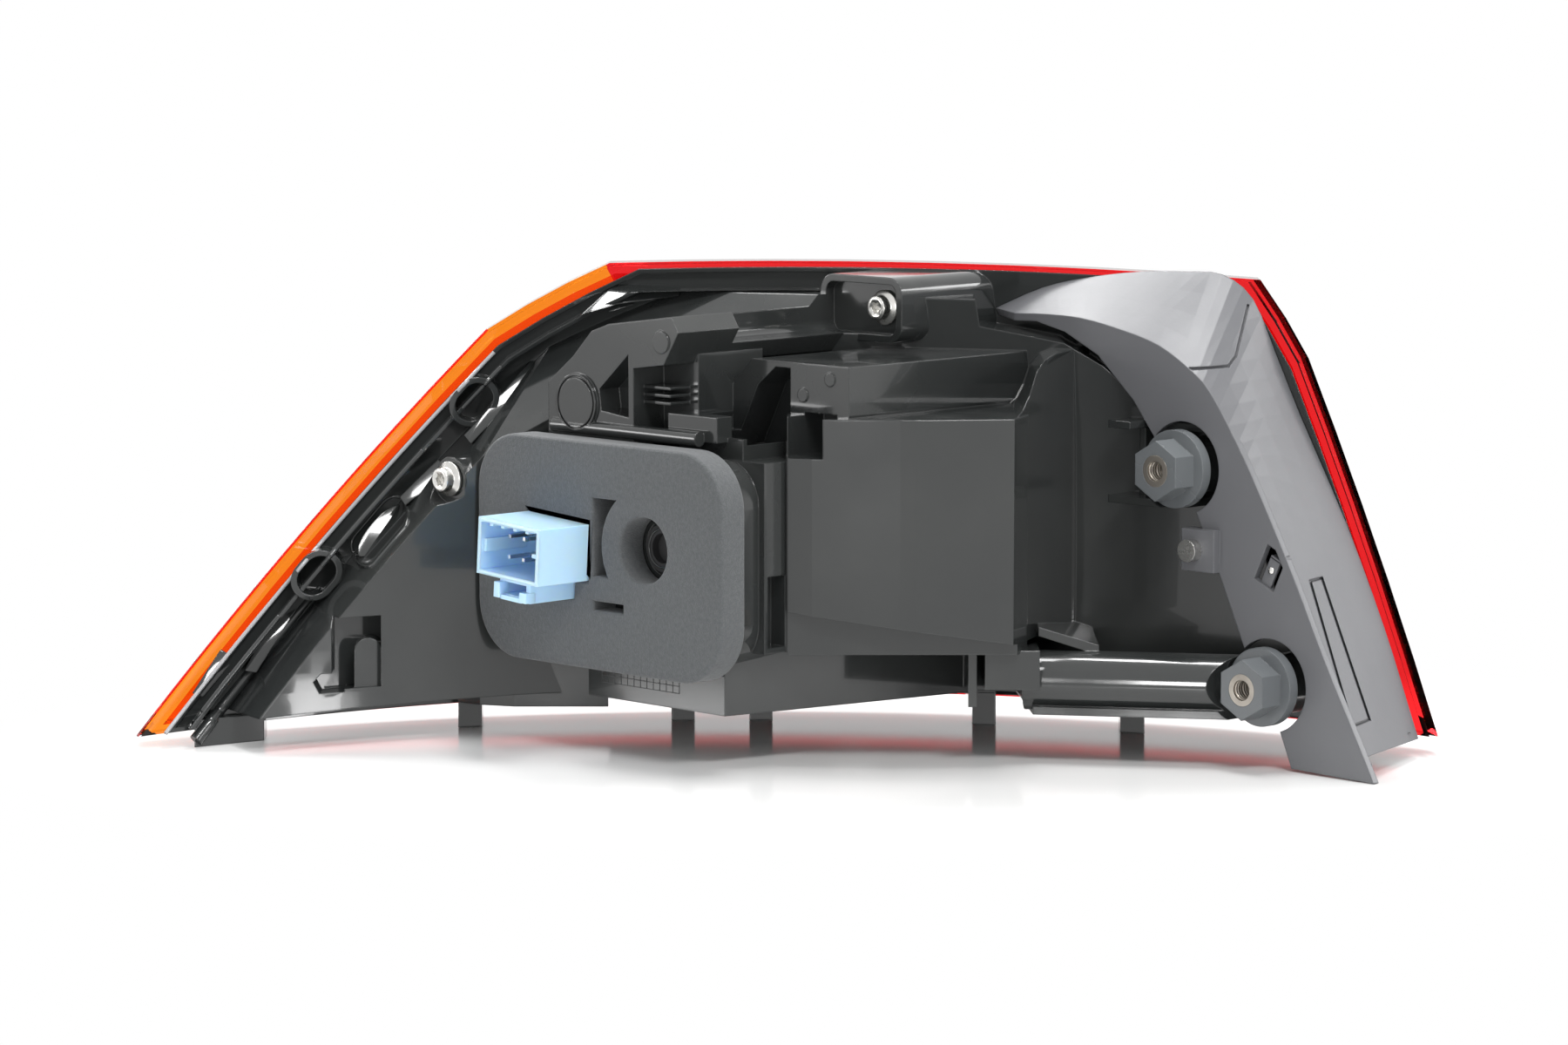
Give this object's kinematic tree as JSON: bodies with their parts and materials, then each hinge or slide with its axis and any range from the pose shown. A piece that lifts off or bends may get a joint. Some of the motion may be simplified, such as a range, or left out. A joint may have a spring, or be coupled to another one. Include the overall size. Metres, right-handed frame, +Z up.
{
  "type": "tail light cluster",
  "caption": "Wrap-around rear lamp for a car wing, with a red and amber lens on a black moulded housing, foam gasket, plug connector and threaded fixing points.",
  "frame": {"origin": "centre of the mouth of the upper adjuster's threaded hole, in the plane of the hexagon's end face", "axes": "-Y leaves the car body side along both threaded holes, the adjusters' common fixing direction; +Z is up as the lamp stands; the lens faces +Y and -X, and its leading tip points to -X"},
  "size_m": [0.3487, 0.3055, 0.159],
  "materials": {
    "housing_black": "glossy moulded black",
    "lens_red": "polished transparent red",
    "lens_amber": "polished transparent amber",
    "seal_rubber": "matt black",
    "foam": "fine closed-cell foam",
    "connector_blue": "moulded light blue",
    "contact_metal": "plated",
    "adjuster_plastic": "moulded dark grey",
    "insert_metal": "dull turned metal",
    "screw_steel": "bright zinc",
    "trim_grey": "fine satin grey",
    "bezel_black": "glossy black",
    "guide_clear": "clear light guide",
    "reflector_silver": "silvered plastic",
    "board_green": "solder-masked board",
    "led_cream": "moulded lens"
  },
  "bodies": {
    "root": {"housing": "housing_black", "lens_red": "lens_red", "lens_amber": "lens_amber", "rim_seal": "seal_rubber", "foam_gasket": "foam", "connector_shell": "connector_blue", "connector_pins": "contact_metal", "adjuster_upper": "adjuster_plastic", "adjuster_lower": "adjuster_plastic", "threaded_inserts": "insert_metal", "housing_screws": "screw_steel", "breather_cap": "seal_rubber", "trim_panel": "trim_grey", "trim_screw": "screw_steel", "inner_bezel": "bezel_black", "light_guide": "guide_clear", "brake_reflector": "reflector_silver", "turn_reflector": "reflector_silver", "reverse_reflector": "reflector_silver", "brake_board": "board_green", "turn_board": "board_green", "reverse_board": "board_green", "brake_leds": "led_cream", "turn_leds": "led_cream", "reverse_leds": "led_cream", "reflex_reflector": "lens_red"}
  },
  "joints": []
}
